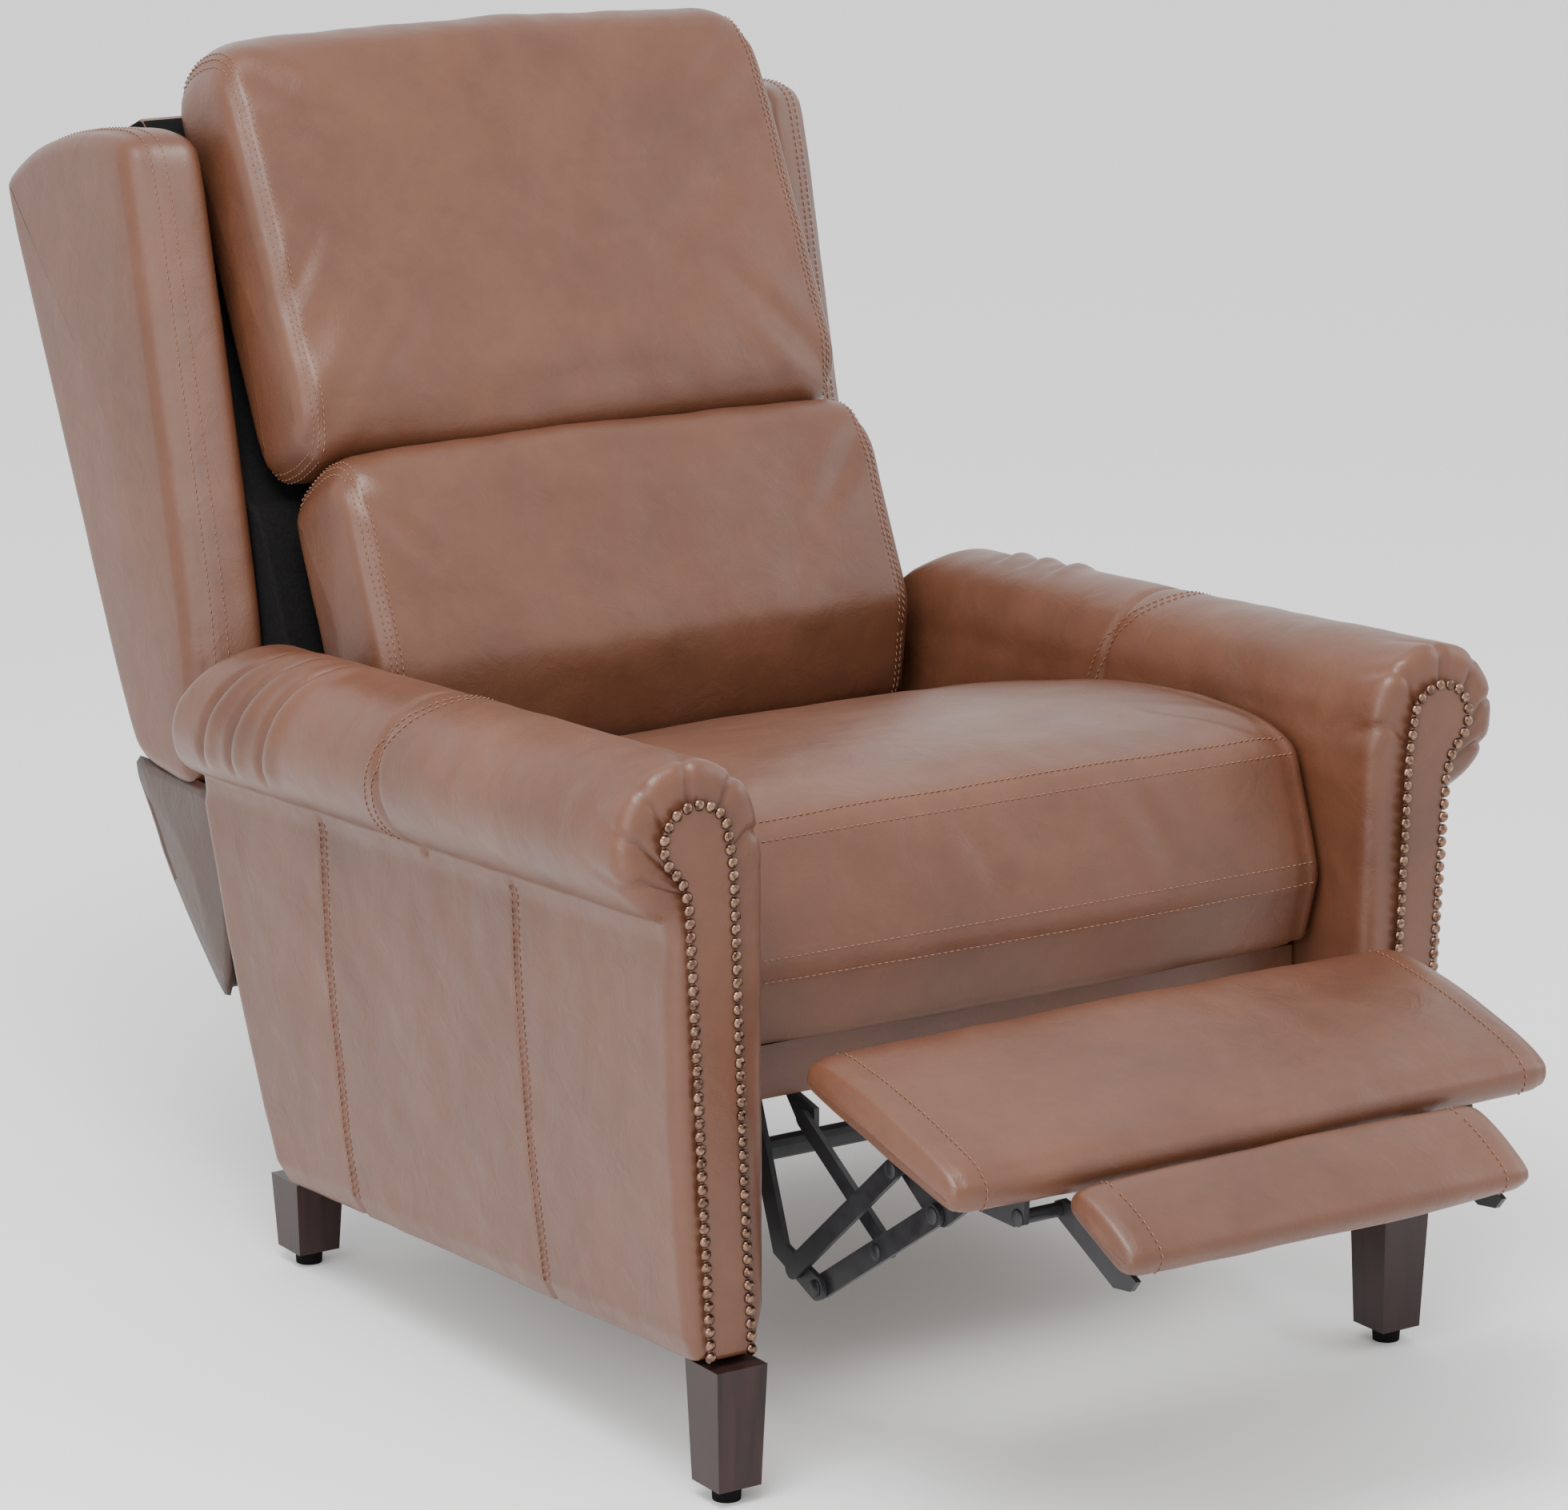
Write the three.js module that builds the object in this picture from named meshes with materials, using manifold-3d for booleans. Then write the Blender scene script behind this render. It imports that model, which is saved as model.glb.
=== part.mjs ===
// Rolled-arm push-back recliner with its leg rest raised. Millimetres, +Z up, sitter faces -Y, left is +X.
import * as THREE from 'three';
import Module from 'manifold-3d';
import { mergeVertices } from 'three/addons/utils/BufferGeometryUtils.js';

const GAP = 0.3;                  // clearance kept between neighbouring pieces
const SETBACK = 452.0;            // from the arm fronts back to the middle of the footprint
const PITCH = Math.tan(THREE.MathUtils.degToRad(3));   // the arm boxes drop towards the rear

// arms
const ARM_INNER = 312;
const ARM_FOOT_OUT = 386;
const ARM_SIDE_OUT = 401;
const ARM_FOOT_Z = 124;
const ROLL_X = 385;
const ROLL_Z = 565;
const ROLL_R = 68;
const ARM_FRONT_Y = 5.3;
const ARM_LENGTH = 840;

// legs and glides
const LEG_TOP = 49;
const LEG_FOOT = 41.6;
const LEG_X = 350.5;
const LEG_Y = 10.8;
const LEG_SPAN = 716;
const GLIDE_R = 13;
const GLIDE_H = 14;

// leg-rest linkage, (y, z) of each pivot with the rest open
const P0 = [150, 310];            // rear link on the side plate
const P1 = [44, 152];             // front link on the rear link
const P2 = [-118, 260];           // leg-rest bracket on the front link
const P3 = [-228, 288];           // flipper on the leg-rest bracket
const V2 = [-74.6, 289.2];        // scissor link on the leg-rest bracket
const W1 = [71.9, 161.8];         // scissor link's lower end beside the rear link
const Q0 = [90, 285];             // control link on its tab
const M1 = [-37, 206];            // control link's far end beside the front link
const REST_EDGE = [-38, 391];     // rear top edge of the leg rest
const REST_U = [-0.9706, -0.2404];
const REST_N = [-0.2404, 0.9706];

// the plates of the linkage, distance of each layer from the middle of the chair
const LAYER_FLIP = [184, 189];
const LAYER_TAB = [214, 219];
const LAYER_CONTROL = [219.5, 224.5];
const LAYER_BRACKET = [225, 230];
const LAYER_FRONT = [230.5, 235.5];
const LAYER_REAR = [236, 241];
const LAYER_SCISSOR = [241.5, 246.5];
const LAYER_PLATE = [247, 253];

const wasm = await Module();
wasm.setup();

const group = new THREE.Group();
group.name = 'recliner';

const leather = 0x8f5d44;
const wood = 0x55423f;
const steel = 0x2a2a2c;
const nail = 0x8a6a42;

function put(name, geometry, color, metalness = 0) {
  const clean = geometry.clone();
  clean.translate(0, -SETBACK, 0);
  clean.computeVertexNormals();
  const material = new THREE.MeshStandardMaterial({ color, metalness, roughness: 0.6 });
  const mesh = new THREE.Mesh(clean, material);
  mesh.name = name;
  group.add(mesh);
}

function shapeOf(points) {
  return new THREE.Shape(points.map((p) => new THREE.Vector2(p[0], p[1])));
}

// (y, z) outline swept from x0 to x1, with its long edges rounded by r when r > 0
function sideSolid(points, x0, x1, r = 0, steps = 3) {
  const options = { depth: x1 - x0 - 2 * r, bevelEnabled: r > 0, curveSegments: 8, steps: 1 };
  Object.assign(options, { bevelSize: r, bevelOffset: -r, bevelThickness: r, bevelSegments: steps });
  const g = new THREE.ExtrudeGeometry(shapeOf(points), options);
  const basis = new THREE.Matrix4().makeBasis(
    new THREE.Vector3(0, 1, 0), new THREE.Vector3(0, 0, 1), new THREE.Vector3(1, 0, 0));
  g.applyMatrix4(basis);
  g.translate(x0 + r, 0, 0);
  return g;
}

// (x, z) outline swept from y0 back to y1
function frontSolid(points, y0, y1, r = 0, steps = 3) {
  const options = { depth: y1 - y0 - 2 * r, bevelEnabled: r > 0, curveSegments: 8, steps: 1 };
  Object.assign(options, { bevelSize: r, bevelOffset: -r, bevelThickness: r, bevelSegments: steps });
  const g = new THREE.ExtrudeGeometry(shapeOf(points), options);
  const basis = new THREE.Matrix4().makeBasis(
    new THREE.Vector3(1, 0, 0), new THREE.Vector3(0, 0, 1), new THREE.Vector3(0, -1, 0));
  g.applyMatrix4(basis);
  g.translate(0, y1 - r, 0);
  return g;
}

function box(x0, x1, y0, y1, z0, z1) {
  const g = new THREE.BoxGeometry(x1 - x0, y1 - y0, z1 - z0);
  g.translate((x0 + x1) / 2, (y0 + y1) / 2, (z0 + z1) / 2);
  return g;
}

function mirrorX(points) {
  return points.map((p) => [-p[0], p[1]]).reverse();
}

function toManifold(g) {
  const c = g.clone();
  c.deleteAttribute('normal');
  c.deleteAttribute('uv');
  const m = mergeVertices(c, 1e-4);
  const mesh = new wasm.Mesh({
    numProp: 3,
    vertProperties: new Float32Array(m.attributes.position.array),
    triVerts: new Uint32Array(m.index.array),
  });
  return new wasm.Manifold(mesh);
}

function fromManifold(solid) {
  const out = solid.getMesh();
  const g = new THREE.BufferGeometry();
  g.setAttribute('position', new THREE.BufferAttribute(new Float32Array(out.vertProperties), 3));
  g.setIndex(new THREE.BufferAttribute(new Uint32Array(out.triVerts), 1));
  return g;
}

function arc(cx, cz, r, a0, a1, n) {
  const points = [];
  for (let i = 0; i <= n; i += 1) {
    const a = THREE.MathUtils.degToRad(a0 + ((a1 - a0) * i) / n);
    points.push([cx + r * Math.cos(a), cz + r * Math.sin(a)]);
  }
  return points;
}

// a flat bar with round ends through the listed (y, z) pivots
function barOutline(pivots, half) {
  const left = [];
  const right = [];
  pivots.forEach((p, i) => {
    const a = pivots[Math.max(i - 1, 0)];
    const b = pivots[Math.min(i + 1, pivots.length - 1)];
    const len = Math.hypot(b[0] - a[0], b[1] - a[1]);
    const d = [(b[0] - a[0]) / len, (b[1] - a[1]) / len];
    const turn = THREE.MathUtils.radToDeg(Math.atan2(d[1], d[0]));
    if (i === 0) {
      left.push(...arc(p[0], p[1], half, turn + 270, turn + 90, 8));
    } else if (i === pivots.length - 1) {
      left.push(...arc(p[0], p[1], half, turn + 90, turn - 90, 8));
    } else {
      left.push([p[0] - d[1] * half, p[1] + d[0] * half]);
      right.unshift([p[0] + d[1] * half, p[1] - d[0] * half]);
    }
  });
  return left.concat(right).reverse();
}

function restPoint(u, n) {
  return [
    REST_EDGE[0] + u * REST_U[0] + n * REST_N[0],
    REST_EDGE[1] + u * REST_U[1] + n * REST_N[1],
  ];
}

function pinX(pivot, r, x0, x1) {
  const g = new THREE.CylinderGeometry(r, r, x1 - x0, 20);
  g.rotateZ(Math.PI / 2);
  g.translate((x0 + x1) / 2, pivot[0], pivot[1]);
  return g;
}

function sided(name, make) {
  for (const [word, s] of [['left', 1], ['right', -1]]) {
    put(...[`${name}_${word}`].concat(make(s)));
  }
}

function span(layer, s) {
  return s > 0 ? layer : [-layer[1], -layer[0]];
}

// ---- arms
const armSection = [
  [ARM_INNER, ARM_FOOT_Z],
  [ARM_FOOT_OUT, ARM_FOOT_Z],
  [ARM_SIDE_OUT, 330],
  [ARM_SIDE_OUT, 500],
  ...arc(ROLL_X, ROLL_Z, ROLL_R, -52, 180, 22),
  [ARM_INNER, 545],
];
const armOutline = [
  [-20, 50], [708, 50], [826, 430], [808, 470], [790, 500], [772, 540], [748, 574], [716, 600],
  [680, 618], [640, 700], [-20, 700],
];
const shear = new THREE.Matrix4().set(1, 0, 0, 0, 0, 1, 0, 0, 0, -PITCH, 1, 0, 0, 0, 0, 1);
sided('arm', (s) => {
  const section = s > 0 ? armSection : mirrorX(armSection);
  const tube = frontSolid(section, ARM_FRONT_Y, ARM_LENGTH, 14);
  tube.applyMatrix4(shear);
  const [x0, x1] = span([300, 470], s);
  const cut = toManifold(tube).intersect(toManifold(sideSolid(armOutline, x0, x1)));
  return [fromManifold(cut), leather];
});

const facePath = [
  [333, 128], [339.5, 260], [345, 400], [348.7, 523], [350.2, 545], [354, 567],
  ...arc(384.5, 567, 31, 168, -28, 12), [398, 536], [392, 517], [386, 400], [379.5, 260], [372.5, 128],
];
sided('arm_facing', (s) => {
  const face = facePath.slice().reverse();
  return [frontSolid(s > 0 ? face : mirrorX(face), 0, ARM_FRONT_Y - GAP), leather];
});

function ribbon(path, half) {
  const inner = [];
  const outer = [];
  path.forEach((p, i) => {
    const a = path[Math.max(i - 1, 0)];
    const b = path[Math.min(i + 1, path.length - 1)];
    const len = Math.hypot(b[0] - a[0], b[1] - a[1]);
    const nx = -(b[1] - a[1]) / len;
    const nz = (b[0] - a[0]) / len;
    outer.push([p[0] + nx * half, p[1] + nz * half]);
    inner.push([p[0] - nx * half, p[1] - nz * half]);
  });
  return inner.concat(outer.reverse());
}
sided('nail_trim', (s) => {
  const strip = ribbon(facePath, 4.6);
  return [frontSolid(s > 0 ? strip : mirrorX(strip), -4, -GAP), nail, 0.9];
});

// ---- legs and glides
for (const [end, y, top] of [['front', LEG_Y, 120.4], ['rear', LEG_Y + LEG_SPAN, 84.4]]) {
  sided(`leg_${end}`, (s) => {
    const h = top - GLIDE_H - GAP;
    const g = new THREE.CylinderGeometry(LEG_TOP / Math.SQRT2, LEG_FOOT / Math.SQRT2, h, 4);
    g.rotateY(Math.PI / 4);
    g.rotateX(Math.PI / 2);
    g.translate(s * LEG_X, y, GLIDE_H + GAP + h / 2);
    return [g, wood];
  });
  sided(`glide_${end}`, (s) => {
    const g = new THREE.CylinderGeometry(GLIDE_R, GLIDE_R - 1, GLIDE_H, 24);
    g.rotateX(Math.PI / 2);
    g.translate(s * LEG_X, y, GLIDE_H / 2);
    return [g, nail, 0.8];
  });
}

// ---- seat box
put('front_rail', sideSolid([[105, 303], [126, 303], [126, 350], [105, 350]], -311.6, 311.6, 3, 2), leather);
put('rear_rail', box(-311.6, 311.6, 640, 660, 200, 328), wood);
put('seat_deck', box(-311.5, 311.5, 131, 639, 335, 347), wood);
const seatSide = [
  [80, 352], [634, 352], [640, 380], [640, 450], [628, 474], [560, 502], [400, 537], [260, 553], [170, 553],
  [120, 540], [88, 508], [68, 455], [64, 400],
];
put('seat_cushion', sideSolid(seatSide, -308, 308, 16, 3), leather);

// ---- leg-rest linkage
sided('side_plate', (s) => [sideSolid(
  [[131, 284], [620, 284], [639, 300], [639, 330], [131, 330]], ...span(LAYER_PLATE, s)), steel, 0.6]);
sided('pivot_boss', (s) => [pinX(P0, 12, ...span([241.4, 246.7], s)), steel, 0.6]);
put('rear_cross_tube', pinX([520, 300], 11, -246.6, 246.6), steel, 0.6);
sided('control_tab', (s) => [sideSolid(
  [[78, 276], [102, 276], [126, 302.6], [106, 302.6], [78, 296]], ...span(LAYER_TAB, s)), steel, 0.6]);
sided('rear_link', (s) => [sideSolid(barOutline([P0, [98, 171], P1], 11), ...span(LAYER_REAR, s)), steel, 0.6]);
put('torque_tube', pinX([128, 250], 10, -235.7, 235.7), steel, 0.6);
sided('front_link', (s) => [sideSolid(barOutline([P1, P2], 10), ...span(LAYER_FRONT, s)), steel, 0.6]);
sided('control_pin', (s) => [pinX(M1, 6, ...span([224.8, 230.2], s)), steel, 0.6]);
sided('control_link', (s) => [sideSolid(barOutline([Q0, M1], 8), ...span(LAYER_CONTROL, s)), steel, 0.6]);
sided('scissor_link', (s) => [sideSolid(barOutline([V2, W1], 9), ...span(LAYER_SCISSOR, s)), steel, 0.6]);
sided('scissor_pin', (s) => [pinX(V2, 6, ...span([230.3, 241.2], s)), steel, 0.6]);
const bracket = [
  restPoint(44, -36.2), restPoint(45, -76), restPoint(54, -102), restPoint(104, -120), restPoint(120, -114),
  restPoint(150, -78), restPoint(207, -64), restPoint(218, -56), restPoint(214, -36.2),
];
sided('rest_bracket', (s) => [sideSolid(bracket.slice().reverse(), ...span(LAYER_BRACKET, s)), steel, 0.6]);
const board = [restPoint(18, -36), restPoint(18, -47), restPoint(198, -47), restPoint(198, -36)];
put('footrest_board', sideSolid(board.slice().reverse(), -183, 183), wood);
const padSide = [
  restPoint(0, -22), restPoint(4, -33), restPoint(12, -35.7), restPoint(208, -35.7), restPoint(218, -30),
  restPoint(222, -18), restPoint(216, -6), restPoint(190, 1), restPoint(110, 5), restPoint(30, 1), restPoint(6, -6),
];
put('footrest_pad', sideSolid(padSide.slice().reverse(), -306, 306, 9, 3), leather);
sided('flipper_pin', (s) => [pinX(P3, 6, ...span([189.3, 224.7], s)), steel, 0.6]);
const flipArm = [
  [-219, 284], [-221, 293], [-230, 297], [-249, 294], [-330, 256], [-322, 246], [-300, 243], [-262, 262],
  [-228, 279],
];
sided('flipper_bracket', (s) => [sideSolid(flipArm, ...span(LAYER_FLIP, s)), steel, 0.6]);
const flipU = [-0.907, -0.421];
const flipN = [-0.421, 0.907];
const flipSide = [
  [2, -8], [0, -20], [6, -29], [14, -31], [80, -31], [90, -24], [96, -12], [86, -3], [50, 2], [12, 0],
].map((q) => [-265 + q[0] * flipU[0] + q[1] * flipN[0], 325 + q[0] * flipU[1] + q[1] * flipN[1]]);
put('flipper_pad', sideSolid(flipSide.slice().reverse(), -205, 205, 8, 3), leather);

// ---- back
const backCore = [
  [776, 462], [802, 428], [930, 428], [990, 432], [1018, 451], [1251, 943], [1243, 953], [1150, 1000],
  [1068, 1030], [900, 690], [868, 684],
];
put('back_frame', sideSolid(backCore, -311.4, 311.4), leather);
const wingSide = [
  [846, 557], [858, 470], [868, 426], [985, 426], [1018, 451], [1251, 943], [1240, 958], [1180, 992], [1090, 1014],
  [1000, 1022], [966, 1020], [950, 1006],
];
sided('wing', (s) => [sideSolid(wingSide, ...span([ARM_INNER, 379], s), 12, 3), leather]);
const headSide = [
  [800, 742], [836, 716], [872, 702], [892, 708], [1056, 1040], [1054, 1066], [1026, 1092], [990, 1100],
  [962, 1090], [928, 1036], [860, 900], [800, 778],
];
put('head_cushion', sideSolid(headSide, -296, 296, 14, 3), leather);
const lumbarSide = [
  [670, 552], [677, 500], [681, 472], [700, 456], [740, 456], [764, 486], [850, 682], [846, 700], [800, 736], [768, 744],
  [742, 728], [704, 650], [670, 572],
];
put('lumbar_cushion', sideSolid(lumbarSide, -292, 292, 14, 3), leather);
const skirtSide = [
  [1010, 422], [972, 375], [952, 344], [902, 293], [840, 237], [834, 242], [836, 300], [846, 360], [856, 421],
  [930, 422], [990, 422],
];
put('back_skirt', sideSolid(skirtSide, -372, 372), leather);
sided('back_bracket', (s) => [sideSolid(
  [[690, 348], [712, 346], [802, 396], [812, 425], [800, 427], [773, 458], [700, 378], [688, 366]],
  ...span([288, 294], s)), steel, 0.6]);
sided('hinge_plate', (s) => [sideSolid(
  [[660.4, 250], [684, 262], [716, 350], [710, 372], [692, 374], [660.4, 340]],
  ...span([294.4, 300], s)), steel, 0.6]);

export default group;
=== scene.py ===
"""Looks of the rolled-arm recliner: upholstery, nails, stitching, finishes, floor, light and camera."""
import math

import bpy
import numpy as np
from mathutils import Matrix, Vector, noise


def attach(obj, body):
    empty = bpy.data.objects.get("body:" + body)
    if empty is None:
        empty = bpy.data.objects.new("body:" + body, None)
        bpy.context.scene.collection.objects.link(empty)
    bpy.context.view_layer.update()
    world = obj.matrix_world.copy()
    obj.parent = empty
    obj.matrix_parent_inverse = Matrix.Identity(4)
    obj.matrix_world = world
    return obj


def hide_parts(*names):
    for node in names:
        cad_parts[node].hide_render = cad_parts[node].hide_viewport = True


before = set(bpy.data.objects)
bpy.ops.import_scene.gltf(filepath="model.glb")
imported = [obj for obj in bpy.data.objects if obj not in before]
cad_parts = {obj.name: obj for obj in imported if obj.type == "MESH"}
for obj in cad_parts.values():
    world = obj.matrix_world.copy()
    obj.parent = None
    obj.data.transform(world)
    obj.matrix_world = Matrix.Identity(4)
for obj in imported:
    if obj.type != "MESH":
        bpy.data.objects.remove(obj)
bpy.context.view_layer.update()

SETBACK = 0.452                       # arm fronts to the middle of the footprint
PITCH = math.tan(math.radians(3))     # the arm boxes drop towards the rear
MM = 0.001
TINY = 1e-12                          # keeps a zero length from being divided by
HANDS = (("left", 1), ("right", -1))  # the sitter's left is +X

# ---------------------------------------------------------------- materials
MIX_COLOUR_A, MIX_COLOUR_B, MIX_COLOUR_RESULT = 6, 7, 2    # the colour sockets of a Mix node
GRAIN_CELLS = 420.0
PLAIN_RELIEF = 0.0004


def new_material(name):
    """A material with its node tree, its shader and the coordinates for its textures."""
    material = bpy.data.materials.new(name)
    material.use_nodes = True
    tree = material.node_tree
    coords = tree.nodes.new("ShaderNodeTexCoord")
    return material, tree, tree.nodes["Principled BSDF"], coords.outputs["Object"]


def noise_node(tree, coords, scale, detail=4.0, roughness=0.55, distortion=0.0):
    node = tree.nodes.new("ShaderNodeTexNoise")
    node.inputs["Scale"].default_value = scale
    node.inputs["Detail"].default_value = detail
    node.inputs["Roughness"].default_value = roughness
    node.inputs["Distortion"].default_value = distortion
    tree.links.new(coords, node.inputs["Vector"])
    return node.outputs["Fac"]


def ramp(tree, source, stops):
    """Colours along the value of source. Each stop is a position and a colour."""
    node = tree.nodes.new("ShaderNodeValToRGB")
    elements = node.color_ramp.elements
    for element, (position, colour) in zip((elements[0], elements[1]), (stops[0], stops[-1])):
        element.position = position
        element.color = (*colour, 1)
    for position, colour in stops[1:-1]:
        elements.new(position).color = (*colour, 1)
    tree.links.new(source, node.inputs["Fac"])
    return node.outputs["Color"]


def span(tree, source, low, high):
    """The middle of a noise's range, stretched from low to high."""
    node = tree.nodes.new("ShaderNodeMapRange")
    node.inputs["From Min"].default_value = 0.3
    node.inputs["From Max"].default_value = 0.7
    node.inputs["To Min"].default_value = low
    node.inputs["To Max"].default_value = high
    tree.links.new(source, node.inputs["Value"])
    return node.outputs["Result"]


def bump(tree, height, strength, distance, below=None):
    node = tree.nodes.new("ShaderNodeBump")
    node.inputs["Strength"].default_value = strength
    node.inputs["Distance"].default_value = distance
    tree.links.new(height, node.inputs["Height"])
    if below is not None:
        tree.links.new(below, node.inputs["Normal"])
    return node.outputs["Normal"]


def multiply(tree, colour, tint):
    node = tree.nodes.new("ShaderNodeMix")
    node.data_type = "RGBA"
    node.blend_type = "MULTIPLY"
    node.inputs["Factor"].default_value = 1.0
    tree.links.new(colour, node.inputs[MIX_COLOUR_A])
    tree.links.new(tint, node.inputs[MIX_COLOUR_B])
    return node.outputs[MIX_COLOUR_RESULT]


def leather_material(name, dark, mid, light):
    """Waxed leather: cloudy colour, small flecks, fine cells and a broad soft relief."""
    material, tree, shader, coords = new_material(name)
    clouds = noise_node(tree, coords, 7.0, 5.0, 0.6, 0.4)
    colour = ramp(tree, clouds, [(0.30, dark), (0.52, mid), (0.76, light)])
    flecks = noise_node(tree, coords, 60.0, 6.0, 0.65)
    fleck_tint = ramp(tree, flecks, [(0.35, (0.91, 0.91, 0.91)), (0.65, (1.0, 1.0, 1.0))])
    tree.links.new(multiply(tree, colour, fleck_tint), shader.inputs["Base Color"])
    sheen = noise_node(tree, coords, 14.0, 4.0)
    tree.links.new(span(tree, sheen, 0.37, 0.47), shader.inputs["Roughness"])
    cells = tree.nodes.new("ShaderNodeTexVoronoi")
    cells.feature = "DISTANCE_TO_EDGE"
    cells.inputs["Scale"].default_value = GRAIN_CELLS
    tree.links.new(coords, cells.inputs["Vector"])
    fine = bump(tree, cells.outputs["Distance"], 0.25, 0.0006)
    folds = noise_node(tree, coords, 26.0, 6.0, 0.6, 0.8)
    tree.links.new(bump(tree, folds, 0.35, 0.0035, fine), shader.inputs["Normal"])
    shader.inputs["Specular IOR Level"].default_value = 0.42
    shader.inputs["Coat Weight"].default_value = 0.20
    shader.inputs["Coat Roughness"].default_value = 0.42
    return material


def plain_material(name, low, high, scale, rough, metallic=0.0, stretch=None, specular=0.5):
    """One noise for colour, roughness and relief, drawn out along an axis where stretch says so."""
    material, tree, shader, coords = new_material(name)
    if stretch:
        mapping = tree.nodes.new("ShaderNodeMapping")
        mapping.inputs["Scale"].default_value = stretch
        tree.links.new(coords, mapping.inputs["Vector"])
        coords = mapping.outputs["Vector"]
    grain = noise_node(tree, coords, scale, 6.0, 0.6, 0.6)
    tree.links.new(ramp(tree, grain, [(0.32, low), (0.68, high)]), shader.inputs["Base Color"])
    tree.links.new(span(tree, grain, rough - 0.06, rough + 0.08), shader.inputs["Roughness"])
    tree.links.new(bump(tree, grain, 0.3, PLAIN_RELIEF), shader.inputs["Normal"])
    shader.inputs["Metallic"].default_value = metallic
    shader.inputs["Specular IOR Level"].default_value = specular
    return material


LEATHER = leather_material(
    "leather", (0.084, 0.0285, 0.0128), (0.104, 0.0365, 0.0168), (0.124, 0.0455, 0.0215))
# A darker copy of the leather with painted shade: it colours the skirt under the back as if it lay in shadow.
SHADE_PAINTED_LEATHER = leather_material(
    "leather_in_shade", (0.034, 0.0125, 0.0068), (0.042, 0.0160, 0.0085), (0.052, 0.0200, 0.0110))
THREAD = plain_material("thread", (0.17, 0.075, 0.042), (0.26, 0.12, 0.07), 300.0, 0.7)
WOOD = plain_material(
    "espresso_wood", (0.012, 0.006, 0.005), (0.030, 0.014, 0.012), 9.0, 0.34,
    stretch=(6.0, 6.0, 0.7), specular=0.3)
PANEL = plain_material(
    "plywood", (0.20, 0.13, 0.08), (0.30, 0.21, 0.13), 8.0, 0.65, stretch=(0.6, 6.0, 6.0))
STEEL = plain_material(
    "black_steel", (0.010, 0.010, 0.012), (0.022, 0.022, 0.025), 40.0, 0.42, specular=0.35)
NAIL = plain_material(
    "antique_nail", (0.045, 0.024, 0.017), (0.30, 0.18, 0.125), 160.0, 0.24, metallic=1.0)
LINING = plain_material(
    "black_lining", (0.004, 0.004, 0.004), (0.009, 0.008, 0.008), 400.0, 0.9, specular=0.08)

# What the names of the CAD nodes start with, and their finish. The rest is steel.
CAD_FINISH = (
    (("leg_",), WOOD),
    (("rear_rail", "seat_deck", "footrest_board"), PANEL),
    (("nail",), NAIL),
    (("glide",), LINING),
    (("arm", "wing", "head", "lumbar", "seat_c", "footrest_p", "flipper_pad", "front_rail", "back_frame",
      "back_skirt"), LEATHER),
)
for node_name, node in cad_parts.items():
    finish = STEEL
    for starts, choice in CAD_FINISH:
        if node_name.startswith(starts):
            finish = choice
            break
    node.data.materials.clear()
    node.data.materials.append(finish)

# ---------------------------------------------------------------- outlines and sections
END_STEPS = 7                         # sections in each round end


def to_row(points):
    """Points of (y, z) or (x, y, z) in millimetres from the arm fronts, to metres in the row frame."""
    p = np.array(points, float) * MM
    p[..., -2] -= SETBACK
    return p


def arc(cx, cz, radius, first, last, count):
    """Points of (x, z) on a round, between two angles in degrees."""
    turns = np.radians(np.linspace(first, last, count))
    return [(cx + radius * math.cos(a), cz + radius * math.sin(a)) for a in turns]


def soften(points, rounds):
    """Closed outline with its corners cut back, rounds times."""
    p = np.array(points, float)
    for _ in range(rounds):
        q = np.roll(p, -1, 0)
        p = np.stack([0.78 * p + 0.22 * q, 0.22 * p + 0.78 * q], 1).reshape(-1, 2)
    return p


def travelled(line):
    """How far along the line each of its points is."""
    return np.r_[0, np.cumsum(np.linalg.norm(np.diff(line, axis=0), axis=1))]


def even(points, count, closed=True):
    """The outline resampled at even steps."""
    p = np.array(points, float)
    if closed:
        p = np.vstack([p, p[:1]])
    steps = travelled(p)
    at = np.linspace(0, steps[-1], count, endpoint=not closed)
    return np.stack([np.interp(at, steps, p[:, k]) for k in range(p.shape[1])], 1)


def outward(ring):
    """Outward normals of an anticlockwise ring."""
    t = np.roll(ring, -1, 0) - np.roll(ring, 1, 0)
    t /= np.linalg.norm(t, axis=1)[:, None] + TINY
    return np.stack([t[:, 1], -t[:, 0]], 1)


def stations(start, stop, radius, step):
    """(position, inset) of each section, with quarter-round ends."""
    turns = [math.radians(a) for a in np.linspace(90, 0, END_STEPS)]
    first = [(start + radius * (1 - math.sin(a)), radius * (1 - math.cos(a))) for a in turns]
    last = [(stop - radius * (1 - math.sin(a)), radius * (1 - math.cos(a))) for a in turns[::-1]]
    count = max(int((stop - start - 2 * radius) / step), 2)
    straight = np.linspace(start + radius, stop - radius, count + 1)[1:-1]
    return first + [(position, 0.0) for position in straight] + last


# ---------------------------------------------------------------- meshes
STITCH_RADIUS = 0.00065
STITCH_LENGTH = 0.0046
STITCH_GAP = 0.0020
STITCH_LIFT = 0.0003
STITCH_MARGIN = 0.001                 # bare seam before the first stitch
STITCH_SHAPE = ((0.45, -0.4), (1.0, 1.0), (0.45, -0.4))    # thickness and rise, end to end
DOME_PROFILE = ((1.0, 0.0), (1.0, 0.16), (0.93, 0.34), (0.75, 0.55), (0.50, 0.70), (0.25, 0.77))
DOME_SIDES = 14


def grid_normals(p):
    """Outward normals of a tube given as rings of points."""
    n = np.cross(np.roll(p, -1, 1) - np.roll(p, 1, 1), np.gradient(p, axis=0))
    n /= np.linalg.norm(n, axis=2)[..., None] + TINY
    return n if np.mean((p - p.mean((0, 1))) * n) > 0 else -n


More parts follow.
